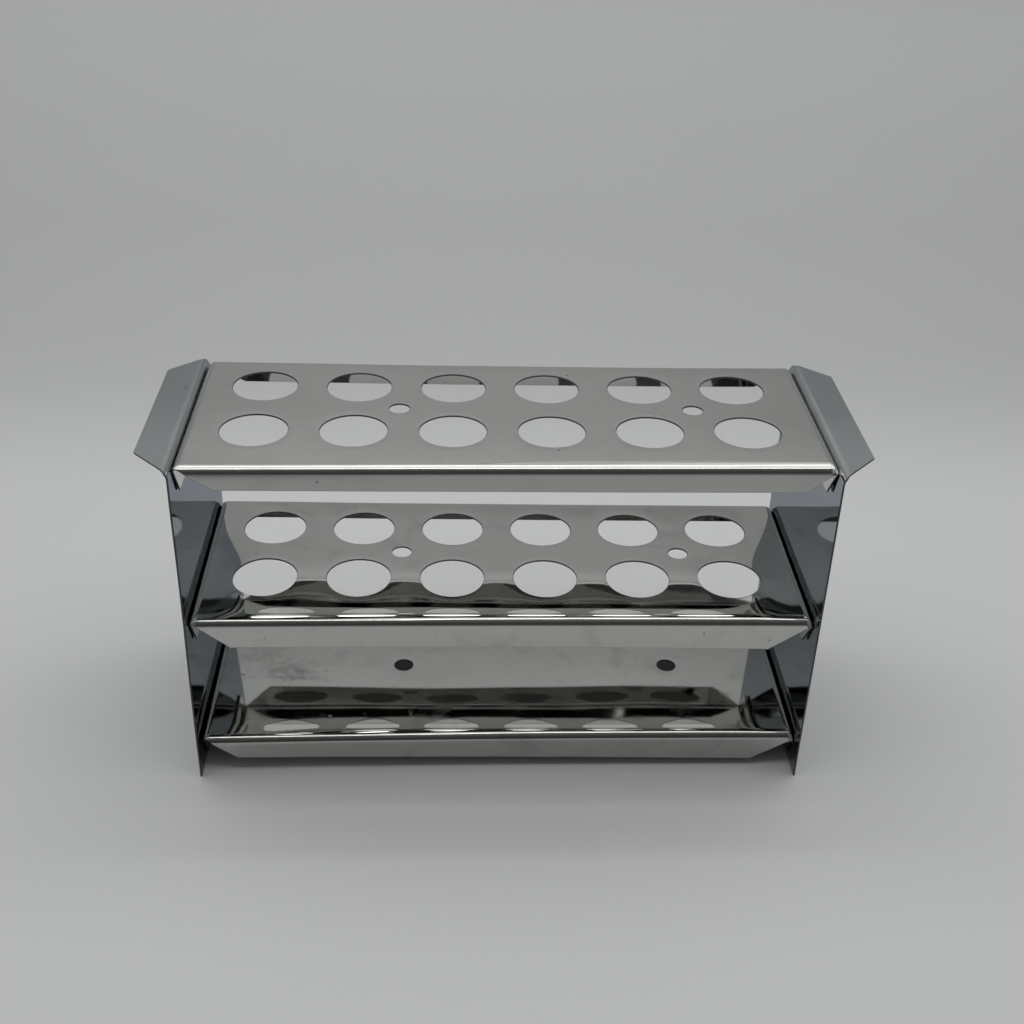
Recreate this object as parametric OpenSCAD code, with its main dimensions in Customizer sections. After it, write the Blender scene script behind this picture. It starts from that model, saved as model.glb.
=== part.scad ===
// Test tube rack: three shallow folded shelves held between two upright end plates.
// Seen from the front, X runs to the right, Y to the back and Z up. The rack stands on Z = 0,
// and the origin is at the middle of its footprint. Every size is in millimetres.

/* [Tube holes] */
// Number of tube holes along the rack
columns = 6; // [2:1:10]
// Number of rows of tube holes from front to back
rows = 2; // [1:1:4]
// Distance between the centres of neighbouring holes in a row
pitch_x = 30; // [26:0.5:40]
// Distance between the centres of the rows
pitch_y = 30; // [26:0.5:40]
// Diameter of a tube hole
tube_hole_d = 20.5; // [12:0.5:22]
// From the left end plate to the centres of the first column of holes
left_margin = 21; // [18:0.1:35]
// From the right end plate to the centres of the last column of holes
right_margin = 23.4; // [18:0.1:35]
// From the front face of a shelf to the centres of the front row
front_margin = 23.6; // [18:0.1:35]
// From the back face of a shelf to the centres of the back row
back_margin = 19.1; // [18:0.1:35]

/* [Locating holes] */
// Diameter of the two small holes in every shelf
locating_hole_d = 6.4; // [3:0.1:8]
// Left locating hole, measured to the left from the middle of the hole pattern
locating_left = 31.7; // [10:0.1:35]
// Right locating hole, measured to the right from the middle of the hole pattern
locating_right = 60.2; // [40:0.1:65]

/* [Sheet] */
// Thickness of the steel sheet
sheet_t = 0.6; // [0.4:0.1:1.2]
// Inside radius of every fold
fold_r = 2.1; // [1:0.1:3]
// Gap that the cut corners of a blank leave beside the end of each fold
corner_relief = 0.4; // [0.2:0.1:1.5]
// How far the left end flanges are folded past the square
left_over_fold = 1; // [0:0.5:5]
// How far the right end flanges are folded past the square
right_over_fold = 3.5; // [0:0.5:5]

/* [Shelves] */
// Height of the top shelf's upper face above the table
top_face_z = 114; // [100:0.2:160]
// Height of the middle shelf's upper face above the table
middle_face_z = 60.2; // [45:0.2:80]
// Height of the bottom shelf's upper face above the table
bottom_face_z = 13.8; // [13:0.1:25]
// Depth of the top shelf's front and back flanges
top_flange_drop = 8.2; // [5:0.1:14]
// Depth of the middle shelf's front and back flanges
middle_flange_drop = 10; // [5:0.1:14]
// Depth of the bottom shelf's front and back flanges
bottom_flange_drop = 8.2; // [5:0.1:12]
// Depth of the end flanges, which lie against the end plates
end_flange_drop = 11.8; // [6:0.1:12.5]
// Clearance between a shelf's folded ends and the end plates
end_clearance = 0; // [0:0.05:0.5]

/* [End plates] */
// How far the end plates stand out in front of the shelves
front_overhang = 3.4; // [0:0.1:8]
// How far the end plates stand out behind the shelves
back_overhang = 1.6; // [0:0.1:8]
// How far a handle reaches out from the inner face of its end plate
handle_reach = 11.6; // [8:0.1:20]
// How much a handle rises towards its outer edge, in degrees
handle_rise = 2; // [0:0.5:8]
// How far past the start of its fold the cut across each handle corner begins
handle_cut_start = 1.9; // [0:0.1:3]
// How much of the sharp tip is taken off each handle corner
handle_tip_off = 0.3; // [0.1:0.1:1]

/* [Hidden] */
$fn = 96;

// The outside of a fold, and what the round fold adds to the blank beyond its two flat legs.
outer_r = fold_r + sheet_t;
fold_length = PI / 2 * (fold_r + sheet_t / 2);

// Space between the end plates, and a shelf's size over its folds.
inner_w = left_margin + (columns - 1) * pitch_x + right_margin;
shelf_w = inner_w - 2 * end_clearance;
shelf_d = front_margin + (rows - 1) * pitch_y + back_margin;
plate_d = front_overhang + shelf_d + back_overhang;

// Middle of the shelves and of the hole pattern on the rack's own axes.
shelf_y = (front_overhang - back_overhang) / 2;
pattern_x = (left_margin - right_margin) / 2;
pattern_y = shelf_y + (front_margin - back_margin) / 2;

// How far the top of an end plate turns to become a handle.
handle_fold = 90 - handle_rise;

// The shears cut the blanks' corners at 45 degrees. This is how much further than its outer
// radius a fold's round carries that cut along, as a share of the radius.
cut_lead = (fold_length - outer_r) / outer_r;

steel = "gainsboro";
shelf_steel = "silver";
// How far a cutter passes a face that it cuts through, and a size larger than any flange.
past = 1;
far = 60;

// Flat quarter-turn profile of a fold: a ring's sector that starts straight up and turns
// towards +X by the given angle.
module fold_profile(angle) {
    intersection() {
        difference() {
            circle(r = outer_r);
            circle(r = fold_r);
        }
        polygon([
            [0, 0],
            [0, 2 * outer_r],
            [2 * outer_r, 2 * outer_r],
            [2 * outer_r * sin(angle), 2 * outer_r * cos(angle)]
        ]);
    }
}

// The round of a fold along X. It starts at Y = 0 with its upper face on Z = 0, and turns down.
module fold_round(span, angle) {
    translate([-span / 2, 0, -outer_r])
        rotate([90, 0, 90])
            linear_extrude(height = span)
                fold_profile(angle);
}

// Carries a flat shape to where the round of a fold ends: its outline grows along +Y, and it is
// as thick as the sheet, or thicker on both sides by the given amount.
module after_fold(angle, thicker = 0) {
    translate([0, 0, -outer_r])
        rotate([-angle, 0, 0])
            translate([0, 0, fold_r - thicker])
                linear_extrude(height = sheet_t + 2 * thicker)
                    children();
}

// Length of the flat leg that reaches to the given distance from the sheet's upper face.
function leg_length(drop, angle) = (drop - outer_r * (1 - cos(angle))) / sin(angle);

// What the shears took off one end of a flange. The blank's corner is cut at 45 degrees, so
// once the flange is folded its edge slants through the round and on down the leg, and stays
// one flat cut. It begins start past the fold's first line, or beside the fold if negative.
module sheared_end(span, start) {
    slant = norm([1, cut_lead, 1]);
    translate([span / 2 + start, 0, 0])
        rotate([0, asin(1 / slant), atan(cut_lead)])
            translate([0, -far, -far])
                cube([far, 2 * far, 2 * far]);
}

// A folded flange along X with both ends sheared, reaching drop from the sheet's upper face.
module flange(span, drop, angle, start) {
    difference() {
        union() {
            fold_round(span, angle);
            after_fold(angle)
                translate([-span / 2, 0])
                    square([span, leg_length(drop, angle)]);
        }
        sheared_end(span, start);
        mirror([1, 0, 0])
            sheared_end(span, start);
    }
}

// A shelf's folded blank without holes: a flat sheet with flanges turned down on four sides.
module shelf_pan(side_drop) {
    flat_w = shelf_w - 2 * outer_r;
    flat_d = shelf_d - 2 * outer_r;
    translate([-flat_w / 2, -flat_d / 2, -sheet_t])
        cube([flat_w, flat_d, sheet_t]);
    translate([0, flat_d / 2, 0])
        flange(flat_w, side_drop, 90, -corner_relief);
    translate([0, -flat_d / 2, 0])
        rotate([0, 0, 180])
            flange(flat_w, side_drop, 90, -corner_relief);
    translate([-flat_w / 2, 0, 0])
        rotate([0, 0, 90])
            flange(flat_d, end_flange_drop, 90 + left_over_fold, -corner_relief);
    translate([flat_w / 2, 0, 0])
        rotate([0, 0, -90])
            flange(flat_d, end_flange_drop, 90 + right_over_fold, -corner_relief);
}

// A hole punched through the flat of a shelf.
module punch(x, y, d) {
    translate([x, y, -sheet_t - past])
        cylinder(d = d, h = sheet_t + 2 * past);
}

// The pattern of tube holes, centred on the origin.
module tube_punches() {
    for (column = [0 : columns - 1], row = [0 : rows - 1])
        punch((column - (columns - 1) / 2) * pitch_x, (row - (rows - 1) / 2) * pitch_y, tube_hole_d);
}

// The two locating holes, on the pattern's own middle line.
module locating_punches() {
    punch(-locating_left, 0, locating_hole_d);
    punch(locating_right, 0, locating_hole_d);
}

// A whole shelf with its upper face at the given height.
module shelf(face_z, side_drop, holds_tubes) {
    translate([0, 0, face_z])
        difference() {
            translate([0, shelf_y, 0])
                shelf_pan(side_drop);
            translate([pattern_x, pattern_y, 0]) {
                locating_punches();
                if (holds_tubes)
                    tube_punches();
            }
        }
}

// What is taken off the sharp tip at one outer corner of a handle, square to its bisector.
module handle_tip() {
    leg = leg_length(handle_reach, handle_fold);
    leg_y = outer_r * sin(handle_fold) + leg * cos(handle_fold);
    after_fold(handle_fold, past)
        translate([plate_d / 2 + handle_cut_start - cut_lead * leg_y - handle_reach, leg])
            rotate(-45 / 2)
                translate([-far, -handle_tip_off])
                    square([2 * far, far]);
}

// The right end plate: an upright sheet whose top is folded outwards into a handle.
module upright_plate() {
    upright = top_face_z - outer_r;
    translate([inner_w / 2, -plate_d / 2, 0])
        cube([sheet_t, plate_d, upright]);
    translate([inner_w / 2, 0, upright])
        rotate([0, -90, 0])
            rotate([0, 0, -90])
                difference() {
                    flange(plate_d, handle_reach, handle_fold, handle_cut_start);
                    handle_tip();
                    mirror([1, 0, 0])
                        handle_tip();
                }
}

module left_end_plate() {
    color(steel)
        mirror([1, 0, 0])
            upright_plate();
}

module right_end_plate() {
    color(steel)
        upright_plate();
}

module top_shelf() {
    color(shelf_steel)
        shelf(top_face_z, top_flange_drop, true);
}

module middle_shelf() {
    color(shelf_steel)
        shelf(middle_face_z, middle_flange_drop, true);
}

module bottom_shelf() {
    color(shelf_steel)
        shelf(bottom_face_z, bottom_flange_drop, false);
}

left_end_plate();
right_end_plate();
top_shelf();
middle_shelf();
bottom_shelf();
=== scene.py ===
"""Looks of a test tube rack: three folded shelves held between two upright end plates.

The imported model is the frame. Each of its five sheets is replaced here by a fine mesh of the same
size, made as the real sheet is made: a flat blank is cut with its holes, then bent along its folds.
Blanks are drawn in millimetres, and the scene is in metres.
"""

import logging
import math
import random
from dataclasses import dataclass, field
from enum import Enum

import bpy
import numpy as np
from mathutils import Matrix, Vector
from mathutils.geometry import delaunay_2d_cdt


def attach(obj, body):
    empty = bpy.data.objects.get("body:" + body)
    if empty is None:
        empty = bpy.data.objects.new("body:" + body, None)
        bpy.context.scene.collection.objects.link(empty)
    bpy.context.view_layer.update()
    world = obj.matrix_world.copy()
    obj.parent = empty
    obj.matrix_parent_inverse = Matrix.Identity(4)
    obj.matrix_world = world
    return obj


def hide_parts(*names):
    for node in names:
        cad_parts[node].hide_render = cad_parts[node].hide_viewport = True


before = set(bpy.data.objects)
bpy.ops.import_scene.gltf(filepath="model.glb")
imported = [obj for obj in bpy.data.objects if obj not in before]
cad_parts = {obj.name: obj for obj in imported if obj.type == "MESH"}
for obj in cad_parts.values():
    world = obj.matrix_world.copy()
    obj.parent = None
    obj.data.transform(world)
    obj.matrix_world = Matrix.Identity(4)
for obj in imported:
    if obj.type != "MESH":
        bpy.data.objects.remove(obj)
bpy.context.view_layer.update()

log = logging.getLogger("rack")

Point = tuple[float, float]
Triple = tuple[float, float, float]
Array = np.ndarray
Socket = bpy.types.NodeSocket
Tree = bpy.types.NodeTree
Material = bpy.types.Material
Thing = bpy.types.Object

MM = 0.001
LEVEL: Triple = (0.0, 0.0, 0.0)

# Widest gap between the points of a hole's rim in millimetres, and the fewest points it has.
RIM_SPACING = 0.9
RIM_POINTS = 24

# How far the points between the cut edges keep from an outline and from a hole's rim.
OUTLINE_GAP = 0.3
RIM_GAP = 0.7


class Side(Enum):
    """The side of a blank's flat field on which a flange is folded down."""

    RIGHT = "right"
    BACK = "back"
    LEFT = "left"
    FRONT = "front"


@dataclass(frozen=True)
class Gauge:
    """The sheet that every piece is folded from."""

    thickness: float = 0.6
    inside_radius: float = 2.1
    edge_round: float = 0.18
    fold_steps: int = 14

    @property
    def middle_radius(self) -> float:
        """Radius of the sheet's middle in a fold."""
        return self.inside_radius + self.thickness / 2

    @property
    def outer_radius(self) -> float:
        """Radius of the outside of a fold."""
        return self.inside_radius + self.thickness


@dataclass(frozen=True)
class RackSizes:
    """Sizes that the sheets share, in millimetres and degrees."""

    inner_width: float = 194.4
    square_fold: float = 90.0
    shelf_depth: float = 72.7
    shelf_y: float = 0.9
    end_drop: float = 11.8
    left_fold: float = 91.0
    right_fold: float = 93.5
    plate_depth: float = 77.7
    top_face: float = 114.0
    handle_reach: float = 11.6
    handle_fold: float = 88.0
    pattern_x: float = -1.2
    pattern_y: float = 3.15
    pitch: float = 30.0
    columns: int = 6
    rows: int = 2
    tube_hole: float = 20.5
    locating_hole: float = 6.4
    locating_left: float = -31.7
    locating_right: float = 60.2


GAUGE = Gauge()
SIZES = RackSizes()

# From the middle of a shelf's blank to the lines where its flanges' folds begin.
HALF_X = SIZES.inner_width / 2 - GAUGE.outer_radius
HALF_Y = SIZES.shelf_depth / 2 - GAUGE.outer_radius


@dataclass(frozen=True)
class Flange:
    """One folded flange, from the line on the blank where its round begins."""

    start: float
    angle: float
    drop: float

    @property
    def turn(self) -> float:
        """The fold's angle in radians."""
        return math.radians(self.angle)

    @property
    def round_length(self) -> float:
        """Length of blank that goes into the round."""
        return self.turn * GAUGE.middle_radius

    @property
    def width(self) -> float:
        """Width of blank from the first fold line to the flange's edge."""
        leg = self.drop - GAUGE.outer_radius * (1 - math.cos(self.turn))
        return self.round_length + leg / math.sin(self.turn)

    def rows(self, spacing: float) -> list[float]:
        """Distances from the blank's middle at which the mesh has a row of points.

        Args:
            spacing: Widest gap between rows on the flat leg.

        Returns:
            Close rows through the round, then wider ones down the leg.
        """
        steps = GAUGE.fold_steps
        rows = [self.start + self.round_length * step / steps for step in range(steps + 1)]
        leg = self.width - self.round_length
        count = max(2, math.ceil(leg / spacing))
        rows += [self.start + self.round_length + leg * step / count for step in range(1, count + 1)]
        return rows

    def bend(self, distance: Array, start: Array) -> tuple[Array, Array, Array]:
        """Where points of the blank come to lie once the flange is folded.

        Args:
            distance: Distances from the blank's middle, measured on the flat blank.
            start: Distance at which the fold begins, for each point.

        Returns:
            The distance out from the middle, the distance down and the angle turned so far.
        """
        beyond = np.maximum(distance - start, 0.0)
        angle = np.minimum(beyond / GAUGE.middle_radius, self.turn)
        leg = np.maximum(beyond - self.round_length, 0.0)
        out = np.minimum(distance, start) + GAUGE.middle_radius * np.sin(angle)
        out = out + leg * math.cos(self.turn)
        down = GAUGE.middle_radius * (1 - np.cos(angle)) + leg * math.sin(self.turn)
        return out, down, angle


@dataclass(frozen=True)
class Hole:
    """A round punched hole, placed on the blank."""

    x: float
    y: float
    diameter: float

    def loop(self) -> list[Point]:
        """Points round the rim, clockwise, so that the sheet lies to the left of the way round.

        Returns:
            The points in order.
        """
        count = max(RIM_POINTS, math.ceil(math.pi * self.diameter / RIM_SPACING))
        radius = self.diameter / 2
        turns = [-2 * math.pi * step / count for step in range(count)]
        return [(self.x + radius * math.cos(a), self.y + radius * math.sin(a)) for a in turns]


@dataclass(frozen=True)
class Waves:
    """The slight unevenness that rolling, shearing and folding leave in a sheet."""

    height: float
    length: float
    seed: int
    count: int = 9

    def at(self, blank: Array) -> Array:
        """How far the sheet stands off its true plane.

        Args:
            blank: Points on the flat blank.

        Returns:
            One height for each point, the sum of the seeded waves.
        """
        rng = random.Random(self.seed)
        total = np.zeros(len(blank))
        for _ in range(self.count):
            heading = rng.uniform(0, math.pi)
            length = self.length * rng.uniform(0.6, 1.9)
            share = rng.uniform(0.5, 1.3) * length / self.length
            phase = rng.uniform(0, 6.28)
            run = blank @ np.array([math.cos(heading), math.sin(heading)])
            height = self.height / math.sqrt(self.count) * share
            total += height * np.sin(run * 2 * math.pi / length + phase)
        return total


def spaced(start: float, end: float, spacing: float) -> list[float]:
    """Evenly spaced values from start to end, both included.

    Args:
        start: First value.
        end: Last value.
        spacing: Widest step between two values.

    Returns:
        The values in order.
    """
    count = max(1, math.ceil(abs(end - start) / spacing))
    return [start + (end - start) * step / count for step in range(count + 1)]


def straight(start: Point, end: Point, spacing: float) -> list[Point]:
    """Evenly spaced points on a straight run, both ends included.

    Args:
        start: First point.
        end: Last point.
        spacing: Widest gap between two points.

    Returns:
        The points in order.
    """
    (x0, y0), (x1, y1) = start, end
    count = max(1, math.ceil(math.dist(start, end) / spacing))
    return [(x0 + (x1 - x0) * step / count, y0 + (y1 - y0) * step / count) for step in range(count + 1)]


def along_rack(values: Triple, share: Array | float) -> Array | float:
    """A smooth run of a measure along the rack.

    Args:
        values: The measure at the left end, the middle and the right end.
        share: Where it is read, from -1 at the left end to 1 at the right one.

    Returns:
        The measure there.
    """
    left, middle, right = values
    return middle + (right - left) / 2 * share + ((left + right) / 2 - middle) * share * share


def left_of(loop: Array) -> Array:
    """Directions into the sheet at a loop's points, long enough to keep an inset even at corners.

    Args:
        loop: Points of a closed loop that has the sheet on its left.

    Returns:
        One vector for each point.
    """
    ahead = np.roll(loop, -1, axis=0) - loop
    ahead /= np.linalg.norm(ahead, axis=1, keepdims=True)
    left = np.stack([-ahead[:, 1], ahead[:, 0]], axis=1)
    mean = left + np.roll(left, 1, axis=0)
    mean /= np.linalg.norm(mean, axis=1, keepdims=True)
    least_share = 0.35
    return mean / np.maximum((mean * left).sum(axis=1, keepdims=True), least_share)


def gap_to(points: Array, loop: Array) -> Array:
    """Shortest distance from each point to a closed loop.

    Args:
        points: Points on the blank.
        loop: The loop's points.

    Returns:
        One distance for each point.
    """
    best = np.full(len(points), np.inf)
    for here, after in zip(loop, np.roll(loop, -1, axis=0)):
        edge = after - here
        offset = points - here
        share = np.clip((offset @ edge) / (edge @ edge), 0.0, 1.0)
        best = np.minimum(best, np.linalg.norm(offset - share[:, None] * edge, axis=1))
    return best


def inside(points: Array, loop: Array) -> Array:
    """Which points lie inside a closed loop.

    Args:
        points: Points on the blank.
        loop: The loop's points.

    Returns:
        True for each point that is inside.
    """
    result = np.zeros(len(points), bool)
    for here, after in zip(loop, np.roll(loop, -1, axis=0)):
        crosses = (here[1] > points[:, 1]) != (after[1] > points[:, 1])
        if not crosses.any():
            continue
        slope = (after[0] - here[0]) / (after[1] - here[1])
        result ^= crosses & (points[:, 0] < here[0] + slope * (points[:, 1] - here[1]))
    return result


def triangulate(edges: list[Array], points: Array) -> tuple[Array, Array, list[int]]:
    """Joins edge loops and the points between them into triangles.

    Args:
        edges: The loops just inside the cut edges, outline first.
        points: The points between them.

    Returns:
        The points used, the triangles, and the new number of each loop point.
    """
    links = []
    first = 0
    for loop in edges:
        count = len(loop)
        links += [(first + i, first + (i + 1) % count) for i in range(count)]
        first += count
    corners = [Vector(p) for p in np.concatenate([*edges, points])]
    same_place = 1e-6
    coords, _, faces, origins, _, _ = delaunay_2d_cdt(corners, links, [], 0, same_place)
    places = np.array([(c.x, c.y) for c in coords])
    number = {old: new for new, olds in enumerate(origins) for old in olds}
    faces = np.array([tuple(f) for f in faces])
    middles = places[faces].mean(axis=1)
    keep = inside(middles, edges[0])
    for loop in edges[1:]:
        keep &= ~inside(middles, loop)
    faces = faces[keep]
    a, b, c = (places[faces[:, i]] for i in range(3))
    turn = (b[:, 0] - a[:, 0]) * (c[:, 1] - a[:, 1]) - (b[:, 1] - a[:, 1]) * (c[:, 0] - a[:, 0])
    faces[turn < 0] = faces[turn < 0][:, ::-1]
    return places, faces, [number[i] for i in range(first)]


@dataclass
class FoldedSheet:
    """A piece of sheet steel that is cut flat and then folded.

    The blank lies in its own x and y. Its upper face becomes the outside of every fold.
    """

    node: str
    slot: str
    place: Matrix
    waves: Waves
    spacing: float = 2.6
    flanges: dict[Side, Flange] = field(default_factory=dict)
    holes: list[Hole] = field(default_factory=list)

    def outline(self) -> list[Point]:
        """Points round the cut blank, counter-clockwise."""
        raise NotImplementedError

    def rows(self) -> tuple[list[float], list[float]]:
        """The x and the y values at which the mesh has rows of points."""
        raise NotImplementedError

    def shaping(self, blank: Array) -> Array:
        """How far the sheet stands off its true form, outwards, at points of the blank."""
        return self.waves.at(blank)

    def lean(self, blank: Array) -> Array:
        """How much higher or lower than true the folded sheet lies at points of the blank."""
        return np.zeros(len(blank))

    def set_back(self, side: Side, blank: Array) -> Array:
        """How much nearer to the blank's middle than true a fold begins, at points of the blank."""
        return np.zeros(len(blank))

    def fold(self, blank: Array) -> Array:
        """Folds points of the blank's middle to their places.

        Args:
            blank: Points on the flat blank.

        Returns:
            Points in the piece's own axes, in millimetres.
        """
        place = np.zeros((len(blank), 3))
        place[:, :2] = blank
        outward = np.zeros((len(blank), 3))
        outward[:, 2] = 1.0
        for side, flange in self.flanges.items():
            axis = 0 if side in (Side.LEFT, Side.RIGHT) else 1
            sign = -1.0 if side in (Side.LEFT, Side.FRONT) else 1.0
            reach = blank[:, axis] * sign
            start = flange.start - self.set_back(side, blank)
            folded = reach > start
            out, down, angle = flange.bend(reach[folded], start[folded])
            place[folded, axis] = out * sign
            place[folded, 2] -= down
            outward[folded, axis] = np.sin(angle) * sign
            outward[folded, 2] = np.cos(angle)
        place[:, 2] += self.lean(blank)
        return place + outward * self.shaping(blank)[:, None]

    def slopes(self, blank: Array) -> tuple[Array, Array]:
        """How the folded middle runs along the blank's x and along its y.

        Args:
            blank: Points on the flat blank.

        Returns:
            Two arrays of tangents.
        """
        step = 0.02
        steps = (np.array([[step, 0.0]]), np.array([[0.0, step]]))
        x_run, y_run = ((self.fold(blank + way) - self.fold(blank - way)) / (2 * step) for way in steps)
        return x_run, y_run

    def normals(self, blank: Array) -> Array:
        """Directions square to the folded sheet, on the outside of its folds."""
        square = np.cross(*self.slopes(blank))
        return square / np.linalg.norm(square, axis=1, keepdims=True)

    def field_points(self, loops: list[Array]) -> Array:
        """Points of the rows that lie on the sheet and clear of its edges.

        Args:
            loops: The cut edges, outline first.

        Returns:
            Points on the blank.
        """
        x_rows, y_rows = self.rows()
        grid = np.array([(x, y) for x in x_rows for y in y_rows])
        grid = grid[inside(grid, loops[0]) & (gap_to(grid, loops[0]) > OUTLINE_GAP)]
        for hole in self.holes:
            from_middle = np.linalg.norm(grid - np.array([hole.x, hole.y]), axis=1)
            grid = grid[from_middle > hole.diameter / 2 + RIM_GAP]
        return grid

    def build(self) -> Thing:
        """Makes the folded mesh with its thickness and rounded cut edges.

        Returns:
            The new object, in place.
        """
        loops = [np.array(self.outline())] + [np.array(hole.loop()) for hole in self.holes]
        lefts = [left_of(loop) for loop in loops]
        small = GAUGE.edge_round
        edges = [loop + left * small for loop, left in zip(loops, lefts)]
        flat, faces, ring = triangulate(edges, self.field_points(loops))
        half = GAUGE.thickness / 2

        middle = self.fold(flat)
        square = self.normals(flat)
        rim = np.concatenate(loops)
        rim_middle = self.fold(rim)
        rim_square = self.normals(rim)
        x_run, y_run = self.slopes(rim)
        out = -np.concatenate(lefts)
        rim_out = x_run * out[:, :1] + y_run * out[:, 1:]
        rim_out /= np.linalg.norm(rim_out, axis=1, keepdims=True)

        count, rim_count = len(flat), len(rim)
        places = np.concatenate([
            middle + square * half,
            middle - square * half,
            rim_middle + rim_square * (half - small),
            rim_middle - rim_square * (half - small),
        ])
        shading = np.concatenate([square, -square, rim_out, rim_out])
        blank = np.concatenate([flat, flat, rim, rim])

        polygons = faces.tolist() + (faces[:, ::-1] + count).tolist()
        high, low = 2 * count, 2 * count + rim_count
        first = 0
        for loop in loops:
            for i in range(len(loop)):
                here = first + i
                after = first + (i + 1) % len(loop)
                levels = [ring[here], high + here, low + here, count + ring[here]]
                next_levels = [ring[after], high + after, low + after, count + ring[after]]
                for step in range(3):
                    polygons.append(levels[step:step + 2] + next_levels[step:step + 2][::-1])
            first += len(loop)
        return self.as_object(places, shading, blank, polygons, 2 * len(faces))

    def as_object(
        self, places: Array, shading: Array, blank: Array, polygons: list[list[int]], face_count: int
    ) -> Thing:
        """Turns the points and faces into an object in the rack's frame.

        Args:
            places: Points in the piece's own axes, in millimetres.
            shading: Shading directions at the points.
            blank: The points' places on the flat blank, kept as the surface map.
            polygons: Faces as point numbers.
            face_count: How many of them lie on the sheet's two faces; the rest are cut edges.

        Returns:
            The linked object.
        """
        turn = np.array(self.place.to_3x3())
        shift = np.array(self.place.translation)
        mesh = bpy.data.meshes.new(self.node + "_sheet")
        for _ in range(2):
            mesh.materials.append(None)
        mesh.from_pydata(((places @ turn.T + shift) * MM).tolist(), [], polygons)
        layer = mesh.uv_layers.new(name="blank")
        corners = np.zeros(len(mesh.loops), np.int32)
        mesh.loops.foreach_get("vertex_index", corners)
        layer.data.foreach_set("uv", (blank[corners] * MM).astype(np.float32).ravel())
        mesh.shade_smooth()
        slots = np.ones(len(polygons), np.int32)
        slots[:face_count] = 0
        mesh.polygons.foreach_set("material_index", slots)
        mesh.normals_split_custom_set_from_vertices((shading @ turn.T).tolist())
        mesh.update()
        piece = bpy.data.objects.new(self.node + "_sheet", mesh)
        bpy.context.scene.collection.objects.link(piece)
        return piece

    def make(self, steel: Material, edge: Material) -> Thing:
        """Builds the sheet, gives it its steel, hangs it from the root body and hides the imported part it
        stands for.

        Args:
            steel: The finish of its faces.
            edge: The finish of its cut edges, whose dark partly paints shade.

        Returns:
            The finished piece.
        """
        piece = self.build()
        piece.data.materials[0] = steel
        piece.data.materials[1] = edge
        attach(piece, "root")
        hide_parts(self.node)
        return piece


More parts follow.
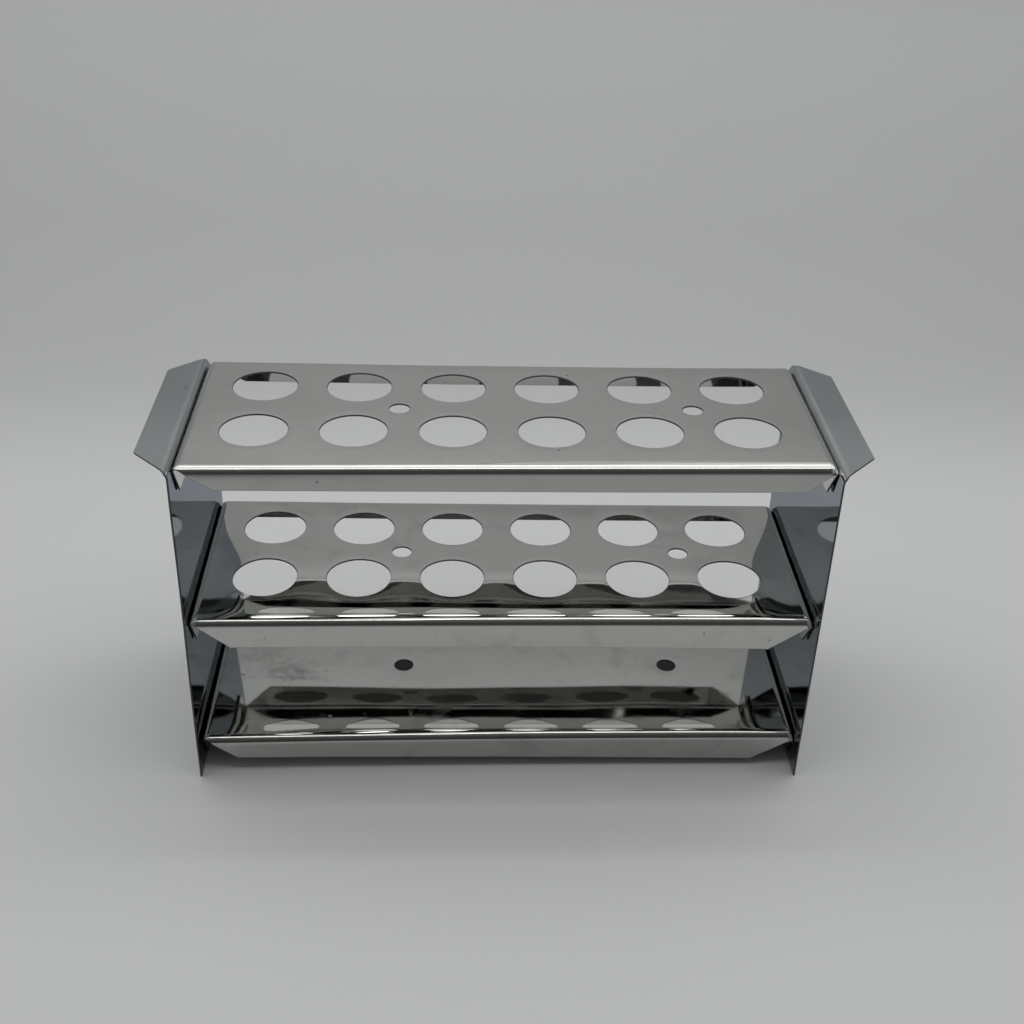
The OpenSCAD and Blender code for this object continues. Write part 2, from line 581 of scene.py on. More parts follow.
@dataclass
class Shelf(FoldedSheet):
    """A shallow pan with four flanges turned down and its corners sheared off.

    A cut is how far the shears went sideways for each step outwards. What the folding pulled out
    of true is given at the left end, the middle and the right end.
    """

    corner_spacing: float = 0.8
    edge_spacing: float = 1.3
    ear: float = 1.8
    front_cuts: Point = (1.45, 1.4)
    back_cuts: Point = (1.4, 1.4)
    end_cuts: Point = (0.62, 0.62)
    front_set_back: Triple = LEVEL
    front_edge: Triple = LEVEL
    front_rise: Triple = LEVEL
    back_rise: Triple = LEVEL
    margin_fall: float = 0.0
    margin_start: float = -13.0
    margin_soft: float = 1.5
    margin_reach: float = 60.0
    soft_start: float = 0.0
    soft_start_y: float = -28.0
    end_fade: float = 16.0
    dish: float = 0.035
    dish_reach: float = 1.3

    @classmethod
    def at_height(
        cls,
        node: str,
        face: float,
        waves: Waves,
        front_drop: float,
        back_flange: Flange,
        holds_tubes: bool = True,
        **shape: float | Point | Triple,
    ) -> "Shelf":
        """Lays out one shelf.

        Args:
            node: Name of its CAD node.
            face: Height of its upper face.
            waves: Its unevenness.
            front_drop: Depth of its front flange.
            back_flange: Its back flange.
            holds_tubes: Whether it has the tube holes.
            shape: How far the folding pulled the sheet out of true.

        Returns:
            The shelf, ready to build.
        """
        flanges = {
            Side.RIGHT: Flange(HALF_X, SIZES.right_fold, SIZES.end_drop),
            Side.LEFT: Flange(HALF_X, SIZES.left_fold, SIZES.end_drop),
            Side.BACK: back_flange,
            Side.FRONT: Flange(HALF_Y, SIZES.square_fold, front_drop),
        }
        centre_y = SIZES.pattern_y - SIZES.shelf_y
        holes = [
            Hole(SIZES.pattern_x + x, centre_y, SIZES.locating_hole)
            for x in (SIZES.locating_left, SIZES.locating_right)
        ]
        if holds_tubes:
            for row in range(SIZES.rows):
                for column in range(SIZES.columns):
                    x = SIZES.pattern_x + (column - (SIZES.columns - 1) / 2) * SIZES.pitch
                    y = centre_y + (row - (SIZES.rows - 1) / 2) * SIZES.pitch
                    holes.append(Hole(x, y, SIZES.tube_hole))
        place = Matrix.Translation((0.0, SIZES.shelf_y, face - GAUGE.thickness / 2))
        return cls(node, "shelf_steel", place, waves, flanges=flanges, holes=holes, **shape)

    def outline(self) -> list[Point]:
        """A cross whose arms taper, with a small ear left at each corner.

        Returns:
            Points round the blank, counter-clockwise.
        """
        turns = (
            (Side.FRONT, HALF_Y, HALF_X, (0.0, -1.0), (1.0, 0.0), self.front_cuts, self.front_edge),
            (Side.RIGHT, HALF_X, HALF_Y, (1.0, 0.0), (0.0, 1.0), self.end_cuts, LEVEL),
            (Side.BACK, HALF_Y, HALF_X, (0.0, 1.0), (-1.0, 0.0), self.back_cuts, LEVEL),
            (Side.LEFT, HALF_X, HALF_Y, (-1.0, 0.0), (0.0, -1.0), self.end_cuts, LEVEL),
        )
        loop: list[Point] = []
        for side, reach, half_span, out, along, cuts, edge in turns:
            width = self.flanges[side].width
            tips = [width + edge[0], width + edge[2]]
            first = -half_span - self.ear + cuts[0] * (tips[0] - self.ear)
            last = half_span + self.ear - cuts[1] * (tips[1] - self.ear)
            points = straight((-half_span - self.ear, self.ear), (first, tips[0]), self.corner_spacing)
            for value in spaced(first, last, self.edge_spacing)[1:-1]:
                points.append((value, width + along_rack(edge, value / half_span)))
            points += straight((last, tips[1]), (half_span + self.ear, self.ear), self.corner_spacing)
            for value, depth in points[:-1]:
                loop.append(tuple(out[i] * (reach + depth) + along[i] * value for i in range(2)))
        return loop

    def rows(self) -> tuple[list[float], list[float]]:
        """Rows across the flat, close rows through the folds and rows down the legs.

        Returns:
            The x values and the y values.
        """
        result = []
        for low, high in ((Side.LEFT, Side.RIGHT), (Side.FRONT, Side.BACK)):
            before = [-row for row in reversed(self.flanges[low].rows(self.spacing)[:-1])]
            after = self.flanges[high].rows(self.spacing)[:-1]
            result.append(before + spaced(before[-1], after[0], self.spacing)[1:-1] + after)
        return result[0], result[1]

    def set_back(self, side: Side, blank: Array) -> Array:
        """The front fold isn't parallel to the back one.

        Args:
            side: The side of the fold.
            blank: Points on the flat blank.

        Returns:
            How much nearer to the middle than true the fold begins, for each point.
        """
        if side is not Side.FRONT:
            return super().set_back(side, blank)
        return along_rack(self.front_set_back, np.clip(blank[:, 0] / HALF_X, -1.0, 1.0))

    def margin_drop(self, y: Array | float) -> Array | float:
        """How far the sheet has fallen in front of its holes, before the front fold.

        Args:
            y: Distance from the blank's middle, negative in front of it.

        Returns:
            The fall, which begins gently and steepens again just before the fold.
        """
        margin = self.margin_soft * np.log1p(np.exp((self.margin_start - y) / self.margin_soft))
        steep = self.soft_start * np.maximum(self.soft_start_y - y, 0.0) ** 2
        return self.margin_fall * (1 - np.exp(-margin / self.margin_reach)) + steep

    def lean(self, blank: Array) -> Array:
        """The sheet is a little twisted and bowed, and falls away in its front margin.

        Args:
            blank: Points on the flat blank.

        Returns:
            How much higher than true each point lies.
        """
        x = np.clip(blank[:, 0] / HALF_X, -1.0, 1.0)
        y = np.clip(blank[:, 1], -HALF_Y, HALF_Y)
        back_share = (y + HALF_Y) / (2 * HALF_Y)
        plane = along_rack(self.front_rise, x) * (1 - back_share)
        plane = plane + along_rack(self.back_rise, x) * back_share
        ends = np.clip((HALF_X - np.abs(blank[:, 0])) / self.end_fade, 0.0, 1.0)
        ends = ends * ends * (3 - 2 * ends)
        bulge = self.margin_drop(-HALF_Y) * (1 - back_share) - self.margin_drop(y)
        return plane + bulge * ends

    def shaping(self, blank: Array) -> Array:
        """Waves, and the dish that the punch draws round each hole.

        Args:
            blank: Points on the flat blank.

        Returns:
            How far outwards each point stands off.
        """
        dish = np.zeros(len(blank))
        for hole in self.holes:
            gap = np.hypot(blank[:, 0] - hole.x, blank[:, 1] - hole.y) - hole.diameter / 2
            share = hole.diameter / SIZES.tube_hole
            dish += self.dish * share * np.exp(-np.maximum(gap, 0.0) / (self.dish_reach * share))
        return super().shaping(blank) - dish


@dataclass
class EndPlate(FoldedSheet):
    """An upright sheet whose top is folded outwards into a handle."""

    edge_spacing: float = 1.2
    cut_start: float = 1.9
    corner_round: float = 0.6
    corner_steps: int = 6
    foot_fade: float = 8.0
    fold_fade: float = 12.0

    @classmethod
    def on_side(cls, node: str, side: Side, corner_round: float, waves: Waves) -> "EndPlate":
        """Lays out one end plate.

        Args:
            node: Name of its CAD node.
            side: The end of the rack that it closes.
            corner_round: Radius left on the outer corners of its handle.
            waves: Its unevenness.

        Returns:
            The plate, ready to build.
        """
        upright = SIZES.top_face - GAUGE.outer_radius
        flanges = {Side.BACK: Flange(upright, SIZES.handle_fold, SIZES.handle_reach)}
        sign = 1.0 if side is Side.RIGHT else -1.0
        columns = (Vector((0.0, -sign, 0.0)), Vector((0.0, 0.0, 1.0)), Vector((-sign, 0.0, 0.0)))
        place = Matrix(columns).transposed().to_4x4()
        place.translation = (sign * (SIZES.inner_width + GAUGE.thickness) / 2, 0.0, 0.0)
        return cls(node, "plate_steel", place, waves, flanges=flanges, corner_round=corner_round)

    def outline(self) -> list[Point]:
        """A rectangle whose two top corners are sheared at 45 degrees.

        Returns:
            Points round the blank, counter-clockwise.
        """
        half = SIZES.plate_depth / 2
        handle = self.flanges[Side.BACK]
        top = handle.start + handle.width
        cut = handle.start + self.cut_start
        tip = half - (top - cut) - self.corner_round * math.tan(math.radians(22.5))
        right = [(half, 0.0), (half, cut)]
        for step in range(self.corner_steps + 1):
            turn = math.radians(45 + 45 * step / self.corner_steps)
            rise = self.corner_round * (math.sin(turn) - 1)
            right.append((tip + self.corner_round * math.cos(turn), top + rise))
        corners = right + [(-x, y) for x, y in reversed(right)]
        points = []
        for here, after in zip(corners, corners[1:] + corners[:1]):
            points += straight(here, after, self.edge_spacing)[:-1]
        return points

    def rows(self) -> tuple[list[float], list[float]]:
        """Rows across the plate, and up it with close rows through the fold.

        Returns:
            The x values and the y values.
        """
        half = SIZES.plate_depth / 2
        up = self.flanges[Side.BACK].rows(self.spacing)[:-1]
        return spaced(-half, half, self.spacing)[1:-1], spaced(0.0, up[0], self.spacing)[1:-1] + up

    def shaping(self, blank: Array) -> Array:
        """Waves that fade out at the foot, the fold and the handle, which stay true.

        Args:
            blank: Points on the flat blank.

        Returns:
            How far outwards each point stands off.
        """
        foot = np.clip(blank[:, 1] / self.foot_fade, 0.0, 1.0)
        top = np.clip((self.flanges[Side.BACK].start - blank[:, 1]) / self.fold_fade, 0.0, 1.0)
        return super().shaping(blank) * foot * top


class Nodes:
    """Short calls for adding and linking nodes in one tree."""

    def __init__(self, tree: Tree) -> None:
        """Keeps the tree that the calls work on."""
        self.tree = tree

    def link(self, source: Socket, target: Socket) -> None:
        """Links two sockets."""
        self.tree.links.new(source, target)

    def feed(self, target: Socket, value: object) -> None:
        """Links a socket, or sets a plain value, on an input.

        Args:
            target: The input.
            value: A socket, a number or a tuple.
        """
        if isinstance(value, Socket):
            self.link(value, target)
        else:
            target.default_value = value

    def add(self, kind: str, inputs: dict[str, object] | None = None) -> bpy.types.Node:
        """Adds a node.

        Args:
            kind: The node's type.
            inputs: What its inputs are fed with, by name.

        Returns:
            The node.
        """
        node = self.tree.nodes.new(kind)
        for label, value in (inputs or {}).items():
            self.feed(node.inputs[label], value)
        return node

    def math(self, operation: str, *values: object, clamp: bool = False) -> Socket:
        """Adds a Math node.

        Args:
            operation: The node's operation.
            values: Its inputs in order.
            clamp: Whether the result is kept from 0 to 1.

        Returns:
            The result socket.
        """
        node = self.add("ShaderNodeMath")
        node.operation = operation
        node.use_clamp = clamp
        for target, value in zip(node.inputs, values):
            self.feed(target, value)
        return node.outputs[0]

    def total(self, base: float, *parts: tuple[Socket, float]) -> Socket:
        """Adds up masks, each times its weight.

        Args:
            base: What they are added to.
            parts: The masks and their weights.

        Returns:
            The sum.
        """
        result: object = base
        for value, weight in parts:
            result = self.math("ADD", result, self.math("MULTIPLY", value, weight))
        return result

    def span(self, value: object, reach: Point, result: Point) -> Socket:
        """Adds a smooth Map Range node.

        Args:
            value: The input.
            reach: The two inputs between which the result changes.
            result: The results at those two.

        Returns:
            The result socket.
        """
        node = self.add("ShaderNodeMapRange")
        node.interpolation_type = "SMOOTHSTEP"
        for target, number in zip(node.inputs, (value, *reach, *result)):
            self.feed(target, number)
        return node.outputs[0]

    def noise(
        self, place: Socket, scale: object, detail: float, rough: float = 0.5, twist: float = 0.0
    ) -> Socket:
        """Adds a Noise Texture.

        Args:
            place: Where it is read.
            scale: How fine it is.
            detail: How many finer layers it has.
            rough: How strong those layers are.
            twist: How far it is distorted.

        Returns:
            Its value.
        """
        inputs = {"Vector": place, "Scale": scale, "Detail": detail, "Roughness": rough}
        return self.add("ShaderNodeTexNoise", {**inputs, "Distortion": twist}).outputs["Fac"]

    def split(self, place: Socket) -> list[Socket]:
        """Adds a node that gives a place's x, y and z."""
        return list(self.add("ShaderNodeSeparateXYZ", {"Vector": place}).outputs)

    def mix(self, share: Socket, first: object, second: object) -> Socket:
        """Adds a colour Mix node.

        Args:
            share: How much of the second colour there is.
            first: The first colour.
            second: The second colour.

        Returns:
            The mixed colour.
        """
        node = self.add("ShaderNodeMix")
        node.data_type = "RGBA"
        for label, value in (("Factor", share), ("A", first), ("B", second)):
            self.feed(node.inputs[label], value)
        return node.outputs["Result"]

    def ramp(self, value: Socket, stops: tuple[Point, ...]) -> Socket:
        """Adds a ramp of greys.

        Args:
            value: Where the ramp is read.
            stops: Each stop's place on the ramp and its grey.

        Returns:
            The grey.
        """
        node = self.add("ShaderNodeValToRGB")
        self.link(value, node.inputs[0])
        steps = node.color_ramp.elements
        while len(steps) < len(stops):
            steps.new(0.5)
        for step, (place, grey) in zip(steps, stops):
            step.position = place
            step.color = (grey, grey, grey, 1.0)
        return node.outputs[0]

    def group(self, tree: Tree, place: Socket, **values: float) -> dict[str, Socket]:
        """Adds a node group.

        Args:
            tree: The group.
            place: Where it is read.
            values: Its other inputs.

        Returns:
            Its outputs by name.
        """
        node = self.add("ShaderNodeGroup")
        node.node_tree = tree
        for label, value in {"place": place, **values}.items():
            self.feed(node.inputs[label], value)
        return {socket.name: socket for socket in node.outputs}


class NodeGroup(Nodes):
    """A shader node group that is built once and used by several finishes."""

    def __init__(self, name: str, inputs: dict[str, float], outputs: tuple[str, ...]) -> None:
        """Opens the group and its sockets.

        Args:
            name: The group's name.
            inputs: Number inputs with their usual values.
            outputs: Names of the number outputs.
        """
        super().__init__(bpy.data.node_groups.new(name, "ShaderNodeTree"))
        face = self.tree.interface
        face.new_socket("place", in_out="INPUT", socket_type="NodeSocketVector")
        for label, value in inputs.items():
            socket = face.new_socket(label, in_out="INPUT", socket_type="NodeSocketFloat")
            socket.default_value = value
        for label in outputs:
            face.new_socket(label, in_out="OUTPUT", socket_type="NodeSocketFloat")
        self.given = self.add("NodeGroupInput").outputs
        self.wanted = self.add("NodeGroupOutput").inputs


def rolled_grain() -> Tree:
    """The fine lines that rolling leaves along the sheet, as a height and a dullness.

    Returns:
        The node group.
    """
    group = NodeGroup("rolled_grain", {}, ("height", "dullness"))
    lines = []
    for scale, detail in (((60.0, 9000.0, 1.0), 2.0), ((14.0, 700.0, 1.0), 3.0)):
        drawn_out = group.add("ShaderNodeMapping", {"Vector": group.given["place"], "Scale": scale})
        lines.append(group.noise(drawn_out.outputs[0], 1.0, detail))
    fine, broad = lines
    group.link(group.total(0.0, (fine, 0.4), (broad, 0.6)), group.wanted["height"])
    group.link(group.span(broad, (0.3, 0.7), (0.0, 1.0)), group.wanted["dullness"])
    return group.tree


def handling_haze() -> Tree:
    """Cloudy patches that hands and drying water leave, and dark specks, as two masks.

    Returns:
        The node group.
    """
    group = NodeGroup("handling_haze", {"size": 40.0, "spread": 0.5}, ("haze", "speck"))
    place = group.given["place"]
    cloud = group.noise(place, group.given["size"], 6.0, 0.6, 0.6)
    contrast = 5.0
    least = group.math("SUBTRACT", 0.75, group.math("MULTIPLY", group.given["spread"], 0.4))
    mask = group.math("MULTIPLY", group.math("SUBTRACT", cloud, least), contrast, clamp=True)
    group.link(mask, group.wanted["haze"])
    cells_per_metre, grime_per_metre, widest_speck = 55.0, 30.0, 0.045
    cells = group.add("ShaderNodeTexVoronoi", {"Vector": place, "Scale": cells_per_metre})
    grime = group.noise(place, grime_per_metre, 1.0)
    speck_size = group.span(grime, (0.5, 0.75), (0.0, widest_speck))
    group.link(group.math("LESS_THAN", cells.outputs["Distance"], speck_size), group.wanted["speck"])
    return group.tree


def single_mark() -> Tree:
    """One blotch, speck or scratch at a place on the blank, as a mask with a ragged edge.

    Returns:
        The node group.
    """
    inputs = {"x": 0.0, "y": 0.0, "half_width": 0.001, "half_height": 0.001, "edge": 0.3, "ragged": 0.5}
    group = NodeGroup("single_mark", inputs, ("mask",))
    given = group.given
    squares = []
    for value, middle, half in zip(group.split(given["place"]), ("x", "y"), ("half_width", "half_height")):
        share = group.math("DIVIDE", group.math("SUBTRACT", value, given[middle]), given[half])
        squares.append(group.math("POWER", share, 2.0))
    far = group.math("SQRT", group.math("ADD", *squares))
    size = group.math("ADD", given["half_width"], given["half_height"])
    cloud = group.noise(given["place"], group.math("DIVIDE", 8.0, size), 4.0)
    uneven = group.math("MULTIPLY", group.math("SUBTRACT", cloud, 0.5), given["ragged"])
    far = group.math("ADD", far, group.math("MULTIPLY", uneven, 2.0))
    mask = group.math("DIVIDE", group.math("SUBTRACT", 1.0, far), given["edge"], clamp=True)
    group.link(mask, group.wanted["mask"])
    return group.tree


class Surface(Nodes):
    """A new material, and calls for the nodes round its Principled shader."""

    def __init__(self, name: str, plain: dict[str, object]) -> None:
        """Makes the material.

        Args:
            name: The material's name.
            plain: What is the same all over it, by the shader's own names.
        """
        self.material = bpy.data.materials.new(name)
        self.material.use_nodes = True
        super().__init__(self.material.node_tree)
        self.shader = self.tree.nodes["Principled BSDF"].inputs
        for label, value in plain.items():
            self.shader[label].default_value = value


@dataclass(frozen=True)
class Effects:
    """The node groups that every steel finish uses."""

    grain: Tree
    haze: Tree
    mark: Tree


@dataclass(frozen=True)
class Mark:
    """A blotch, speck or scratch on a sheet, in millimetres on its blank."""

    x: float
    y: float
    half_width: float
    half_height: float
    depth: float = 0.8
    edge: float = 0.4
    ragged: float = 0.3

    def mask(self, nodes: Nodes, place: Socket, tree: Tree) -> Socket:
        """Adds the mark's nodes.

        Args:
            nodes: Calls for the material's tree.
            place: Where a point lies on the blank, in metres.
            tree: The mark group.

        Returns:
            The mark's mask.
        """
        made = nodes.group(
            tree,
            place,
            x=self.x * MM,
            y=self.y * MM,
            half_width=self.half_width * MM,
            half_height=self.half_height * MM,
            edge=self.edge,
            ragged=self.ragged,
        )
        return nodes.math("MULTIPLY", made["mask"], self.depth)


@dataclass(frozen=True)
class SteelFinish:
    """Bright cold-rolled stainless steel that has been handled.

    The dulls are how much each kind of mark adds to the roughness, and the darks how much of the
    dark tint it shows.
    """

    name: str
    tint: Triple
    roughness: float
    haze: float
    haze_size: float
    speck: float
    grazing: Triple = (1.0, 1.0, 1.0)
    marks: tuple[Mark, ...] = ()
    haze_spread: float = 0.55
    grain_dull: float = 0.015
    haze_dull: float = 0.22
    mark_dull: float = 0.35
    haze_dark: float = 0.9
    mark_dark: float = 0.8
    dark_share: float = 0.35
    bump_strength: float = 0.12
    bump_height: float = 0.00001

    def material(self, effects: Effects) -> Material:
        """Makes the steel.

        Args:
            effects: The node groups that it is made with.

        Returns:
            The material.
        """
        steel = Surface(self.name, {"Metallic": 1.0, "Specular Tint": (*self.grazing, 1.0)})
        surface_map = steel.add("ShaderNodeUVMap")
        surface_map.uv_map = "blank"
        place = surface_map.outputs[0]
        spot = steel.add("ShaderNodeTexCoord").outputs["Object"]
        grain = steel.group(effects.grain, place)
        clouds = steel.group(effects.haze, spot, size=self.haze_size, spread=self.haze_spread)

        haze = steel.math("MULTIPLY", clouds["haze"], self.haze)
        marks = steel.math("MULTIPLY", clouds["speck"], self.speck)
        for mark in self.marks:
            marks = steel.math("MAXIMUM", marks, mark.mask(steel, place, effects.mark))
        dulls = ((grain["dullness"], self.grain_dull), (haze, self.haze_dull), (marks, self.mark_dull))
        steel.link(steel.total(self.roughness, *dulls), steel.shader["Roughness"])

        dark = [value * self.dark_share for value in self.tint]
        share = steel.total(0.0, (haze, self.haze_dark), (marks, self.mark_dark))
        kept_share = steel.math("MINIMUM", share, 1.0)
        colour = steel.mix(kept_share, (*self.tint, 1.0), (*dark, 1.0))
        steel.link(colour, steel.shader["Base Color"])

        relief = {"Strength": self.bump_strength, "Distance": self.bump_height, "Height": grain["height"]}
        steel.link(steel.add("ShaderNodeBump", relief).outputs[0], steel.shader["Normal"])
        return steel.material


@dataclass(frozen=True)
class Panel:
    """A lit panel over the rack, given by the y and z of its back and front edges."""

    name: str
    back: Point
    front: Point
    width: float
    bright: float

    def hang(self) -> None:
        """Hangs the panel with its length along X and its face down."""
        run = Vector((0.0, self.front[0] - self.back[0], self.front[1] - self.back[1]))
        lamp = bpy.data.lights.new(self.name, "AREA")
        lamp.shape = "RECTANGLE"
        lamp.size = self.width
        lamp.size_y = run.length
        lamp.energy = self.bright * math.pi * self.width * run.length
        holder = bpy.data.objects.new(self.name, lamp)
        bpy.context.scene.collection.objects.link(holder)
        sideways = Vector((1.0, 0.0, 0.0))
        along = run.normalized()
        face = sideways.cross(along)
        if face.z < 0:
            sideways = -sideways
            face = -face
        place = Matrix((sideways, along, face)).transposed().to_4x4()
        place.translation = Vector((0.0, self.back[0], self.back[1])) + run / 2
        holder.matrix_world = place


@dataclass(frozen=True)
class LightTent:
    """The soft white tent round the rack: bright over it and behind it, open and dark in front.

    Each stop is an angle in degrees, from the horizon behind the rack over the top to the
    horizon in front, with how bright the tent is there. The sides reach between the two beside
    shares of a direction's x.
    """

    stops: tuple[Point, ...] = (
        (0.0, 0.36),
        (30.0, 0.36),
        (50.0, 0.20),
        (110.0, 0.20),
        (126.0, 0.14),
        (142.0, 0.07),
        (170.0, 0.055),
        (175.0, 0.055),
        (178.0, 0.14),
        (180.0, 0.14),
    )
    beside: Point = (0.30, 0.62)
    side_colour: tuple[float, ...] = (0.36, 0.36, 0.3636, 1.0)
    panels: tuple[Panel, ...] = (
        Panel("low_slope_panel", (0.425, 0.425), (0.30, 0.495), 1.5, 0.40),
        Panel("high_slope_panel", (0.30, 0.495), (0.15, 0.55), 1.5, 0.85),
        Panel("roof_panel", (0.15, 0.55), (-0.16, 0.55), 1.5, 1.06),
        Panel("strip_behind", (0.126, 0.535), (0.106, 0.545), 0.5, 6.0),
        Panel("strip_ahead", (-0.155, 0.52), (-0.175, 0.51), 0.5, 5.0),
    )

    def build(self) -> None:
        """Makes the world, and hangs the panels over the rack."""
        world = bpy.data.worlds.new("light_tent")
        bpy.context.scene.world = world
        world.use_nodes = True
        world.node_tree.nodes.clear()
        nodes = Nodes(world.node_tree)
        x, y, z = nodes.split(nodes.add("ShaderNodeTexCoord").outputs["Generated"])
        angle = nodes.math("ARCTAN2", nodes.math("MAXIMUM", z, 0.0), y)
        stops = tuple((degrees / 180, level) for degrees, level in self.stops)
        over = nodes.ramp(nodes.math("DIVIDE", angle, math.pi), stops)
        beside = nodes.span(nodes.math("ABSOLUTE", x), self.beside, (0.0, 1.0))
        light = nodes.add("ShaderNodeBackground", {"Color": nodes.mix(beside, over, self.side_colour)})
        nodes.add("ShaderNodeOutputWorld", {"Surface": light.outputs[0]})
        for panel in self.panels:
            panel.hang()


@dataclass(frozen=True)
class PaperSweep:
    """The plain pale paper that the rack stands on, which curves up behind it.

    Each tone is given at y + z of a place on the sweep, in metres, and paints the tent's light and shade
    on the paper.
    """

    front: float = -1.6
    floor_step: float = 0.25
    bend_start: float = 0.27
    bend_radius: float = 0.16
    bend_steps: int = 24
    wall_step: float = 0.05
    top: float = 0.425
    half_width: float = 1.6
    painted_light_tones: tuple[Point, ...] = (
        (0.15, 0.66),
        (0.20, 0.61),
        (0.25, 0.57),
        (0.31, 0.56),
        (0.42, 0.58),
        (0.50, 0.64),
        (0.58, 0.74),
        (0.64, 0.66),
        (0.70, 0.54),
        (0.73, 0.75),
        (0.76, 0.76),
        (0.80, 0.97),
        (0.86, 0.97),
    )

    def profile(self) -> list[Point]:
        """The sweep's middle line, from the front to its top edge.

        Returns:
            Points as y and z.
        """
        line = [(y, 0.0) for y in spaced(self.front, self.bend_start, self.floor_step)]
        for step in range(1, self.bend_steps + 1):
            turn = math.pi / 2 * step / self.bend_steps
            y = self.bend_start + self.bend_radius * math.sin(turn)
            line.append((y, self.bend_radius * (1 - math.cos(turn))))
        wall = self.bend_start + self.bend_radius
        line += [(wall, z) for z in spaced(self.bend_radius, self.top, self.wall_step)[1:]]
        return line

    def build(self) -> None:
        """Makes the sweep."""
        line = self.profile()
        places = [(side * self.half_width, y, z) for side in (-1.0, 1.0) for y, z in line]
        count = len(line)
        faces = [(i, count + i, count + i + 1, i + 1) for i in range(count - 1)]
        mesh = bpy.data.meshes.new("paper_sweep")
        mesh.from_pydata(places, [], faces)
        mesh.shade_smooth()
        mesh.materials.append(self.paper())
        sweep = bpy.data.objects.new("paper_sweep", mesh)
        bpy.context.scene.collection.objects.link(sweep)

    def paper(self) -> Material:
        """Makes the matt paper, whose tone changes along the sweep as painted light and shade; it is also
        painted lighter and then darker in front of the rack, and darker high up at the sides.

        Returns:
            The material.
        """
        paper = Surface("pale_paper", {"Roughness": 0.9, "Specular IOR Level": 0.1})
        spot = paper.add("ShaderNodeTexCoord").outputs["Object"]
        x, y, z = paper.split(spot)
        # Painted light and shade along the sweep.
        along = paper.ramp(paper.math("ADD", y, z), self.painted_light_tones)
        # Painted light and shade in front of the rack: a little lighter from about 0.1 m ahead, then
        # darker beyond 0.14 m, where the light falls off.
        painted_light_front = paper.span(y, (-0.12, -0.08), (1.06, 1.0))
        ahead = paper.span(y, (-0.24, -0.14), (0.84, 1.0))
        # Painted shade high up on the sweep at the sides.
        high = paper.span(z, (0.20, 0.30), (0.0, 0.15))
        aside = paper.span(paper.math("ABSOLUTE", x), (0.08, 0.24), (0.0, 1.0))
        painted_shade_corners = paper.math("MULTIPLY", high, aside)
        place = paper.math("SUBTRACT", paper.math("MULTIPLY", painted_light_front, ahead), painted_shade_corners)
        fibres = paper.span(paper.noise(spot, 700.0, 2.0), (0.2, 0.8), (0.99, 1.01))
        level = paper.math("MULTIPLY", paper.math("MULTIPLY", along, place), fibres)
        red = paper.math("MULTIPLY", level, 0.99)
        colour = paper.add("ShaderNodeCombineColor", {"Red": red, "Green": level, "Blue": level})
        paper.link(colour.outputs[0], paper.shader["Base Color"])
        return paper.material


@dataclass(frozen=True)
class PhotoCamera:
    """The camera at the photograph's place."""

    place: Triple = (-0.015788, -0.384684, 0.309533)
    target: Triple = (0.004739, 0.034985, 0.057)
    roll: float = -1.807
    lens: float = 48.76
    sensor: float = 36.0

    def build(self) -> None:
        """Makes the camera and gives it to the scene."""
        data = bpy.data.cameras.new("photo_camera")
        data.lens = self.lens
        data.sensor_width = self.sensor
        data.clip_start = 0.01
        data.clip_end = 20.0
        camera = bpy.data.objects.new("photo_camera", data)
        bpy.context.scene.collection.objects.link(camera)
        ahead = (Vector(self.target) - Vector(self.place)).normalized()
        right = ahead.cross(Vector((0.0, 0.0, 1.0))).normalized()
        turn = math.radians(self.roll)
        up = right.cross(ahead) * math.cos(turn) + right * math.sin(turn)
        side = ahead.cross(up)
        place = Matrix((side, up, -ahead)).transposed().to_4x4()
        place.translation = Vector(self.place)
        camera.matrix_world = place
        bpy.context.scene.camera = camera


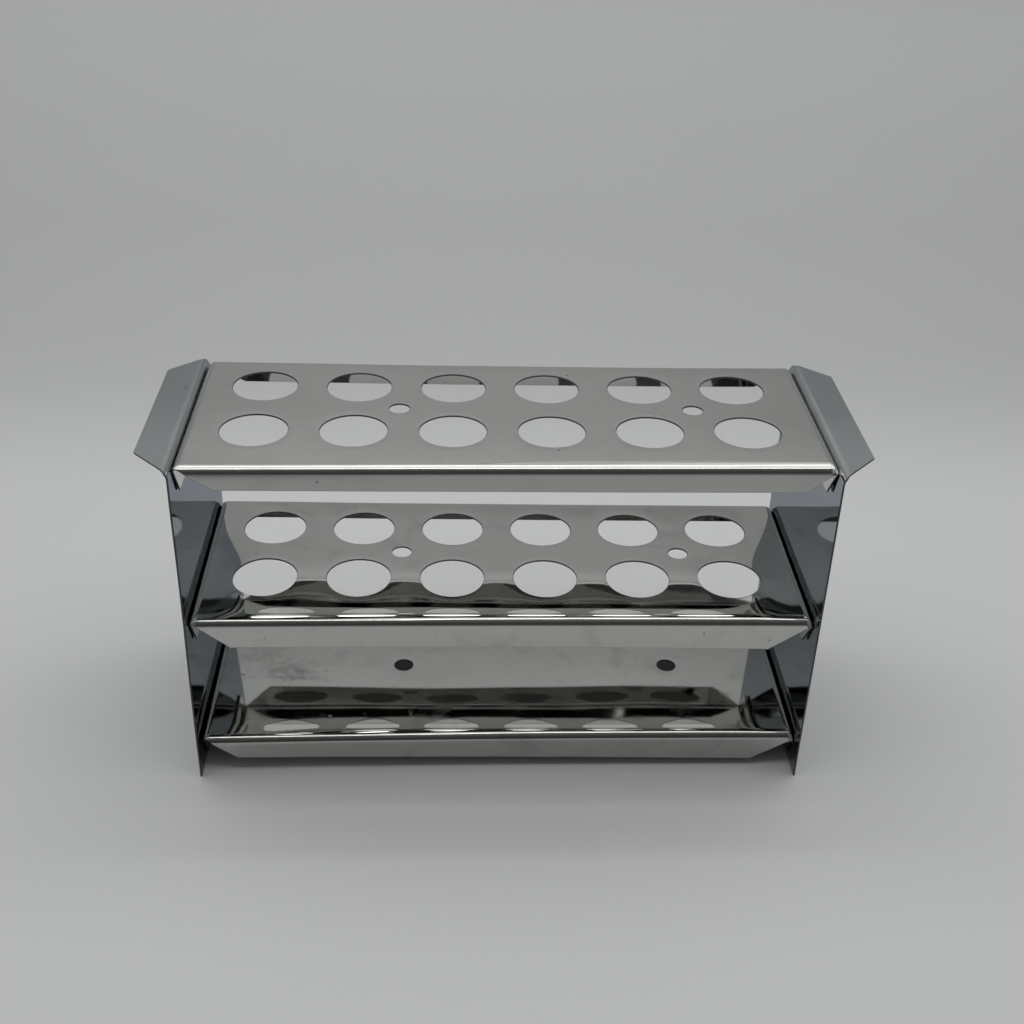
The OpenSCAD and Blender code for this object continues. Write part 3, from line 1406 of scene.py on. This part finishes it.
def shelves() -> list[tuple[Shelf, SteelFinish]]:
    """Lays out the three shelves.

    Returns:
        Each shelf with the finish of its faces.
    """
    top_marks = (
        Mark(87.5, -28.0, 0.5, 0.5),
        Mark(47.5, 3.4, 0.4, 0.4),
        Mark(-55.3, -39.5, 0.6, 0.5),
    )
    top = Shelf.at_height(
        "top_shelf", 114.0, Waves(0.03, 55.0, 3), 8.2, Flange(HALF_Y, 81.0, 8.1),
        front_cuts=(1.57, 1.22),
        front_set_back=(-0.54, 0.18, 1.3),
        front_edge=(-0.41, -0.33, -1.0),
        front_rise=(-0.65, 0.0, 0.25),
        back_rise=(0.0, -0.6, -0.2),
    )
    top_tint = (0.545, 0.553, 0.530)
    top_steel = SteelFinish("top_steel", top_tint, 0.03, 0.14, 70.0, 1.0, marks=top_marks)

    middle_marks = (
        Mark(-50.2, 30.8, 0.9, 0.4),
        Mark(-74.0, -40.5, 0.3, 0.8, 0.5),
        Mark(-21.4, -39.6, 0.3, 0.6, 0.5),
        Mark(62.9, -37.9, 0.25, 1.0),
        Mark(84.0, -40.5, 0.4, 0.4),
    )
    middle = Shelf.at_height(
        "middle_shelf", 60.2, Waves(0.03, 50.0, 5), 10.0, Flange(HALF_Y, 76.0, 8.2),
        front_cuts=(1.30, 1.41),
        front_set_back=(0.4, 1.5, 1.8),
        front_edge=(-0.4, -1.25, -0.45),
        front_rise=(-1.1, -1.0, -0.95),
        back_rise=(0.4, -0.15, -0.25),
        margin_fall=5.2,
        soft_start=0.009,
    )
    # The middle shelf is the same steel as the top one; its darker tint is painted shade.
    middle_shaded_tint = (0.515, 0.521, 0.496)
    middle_steel = SteelFinish("middle_steel", middle_shaded_tint, 0.03, 0.25, 80.0, 1.0, marks=middle_marks)

    bottom_marks = (
        Mark(-73.0, 0.0, 14.0, 8.0, 0.4, 0.9, 1.1),
        Mark(-81.0, 8.0, 9.0, 7.0, 0.35, 0.9, 1.1),
        Mark(-87.8, -3.2, 0.6, 0.6),
        Mark(-56.3, -25.2, 0.9, 0.6),
    )
    bottom = Shelf.at_height(
        "bottom_shelf", 13.8, Waves(0.045, 50.0, 8), 8.2, Flange(HALF_Y, SIZES.square_fold, 8.2), False,
        front_cuts=(1.42, 1.63),
        front_set_back=(-0.37, 1.48, 2.07),
        front_edge=(0.0, -0.37, 0.55),
        front_rise=(-0.65, -0.5, -0.5),
        soft_start=0.006,
    )
    # The bottom shelf is the same steel as the top one; its still darker tint is painted shade.
    bottom_shaded_tint = (0.455, 0.461, 0.440)
    bottom_steel = SteelFinish("bottom_steel", bottom_shaded_tint, 0.03, 0.32, 80.0, 1.0, marks=bottom_marks)
    return [(top, top_steel), (middle, middle_steel), (bottom, bottom_steel)]


def end_plates() -> list[tuple[EndPlate, SteelFinish]]:
    """Lays out the two end plates.

    Returns:
        Each plate with the finish of its faces.
    """
    tint = (0.495, 0.505, 0.510)
    grazing = (0.50, 0.53, 0.58)
    left_marks = (Mark(15.5, 116.0, 2.8, 1.6, 0.4, 0.8, 0.6),)
    pairs = []
    for side, corner_round, seed, marks in ((Side.LEFT, 1.5, 11, left_marks), (Side.RIGHT, 0.6, 13, ())):
        plate = EndPlate.on_side(side.value + "_end_plate", side, corner_round, Waves(0.06, 60.0, seed))
        steel = SteelFinish(side.value + "_steel", tint, 0.04, 0.15, 25.0, 0.6, grazing, marks)
        pairs.append((plate, steel))
    return pairs


def main() -> None:
    """Builds the camera, the light, the floor and the five sheets, and reports each sheet."""
    logging.basicConfig(level=logging.INFO, format="%(name)s: %(message)s")
    bpy.context.scene.view_settings.view_transform = "Standard"
    PhotoCamera().build()
    LightTent().build()
    PaperSweep().build()
    effects = Effects(rolled_grain(), handling_haze(), single_mark())
    # Cut edges get a near-black steel: partly real, as sheared edges are duller, and partly painted shade
    # along the edges.
    edge = SteelFinish("sheared_edge", (0.09, 0.09, 0.095), 0.35, 0.5, 90.0, 0.0).material(effects)
    for sheet, steel in shelves() + end_plates():
        piece = sheet.make(steel.material(effects), edge)
        log.info("%s: %d faces", piece.name, len(piece.data.polygons))


if __name__ == "__main__":
    main()
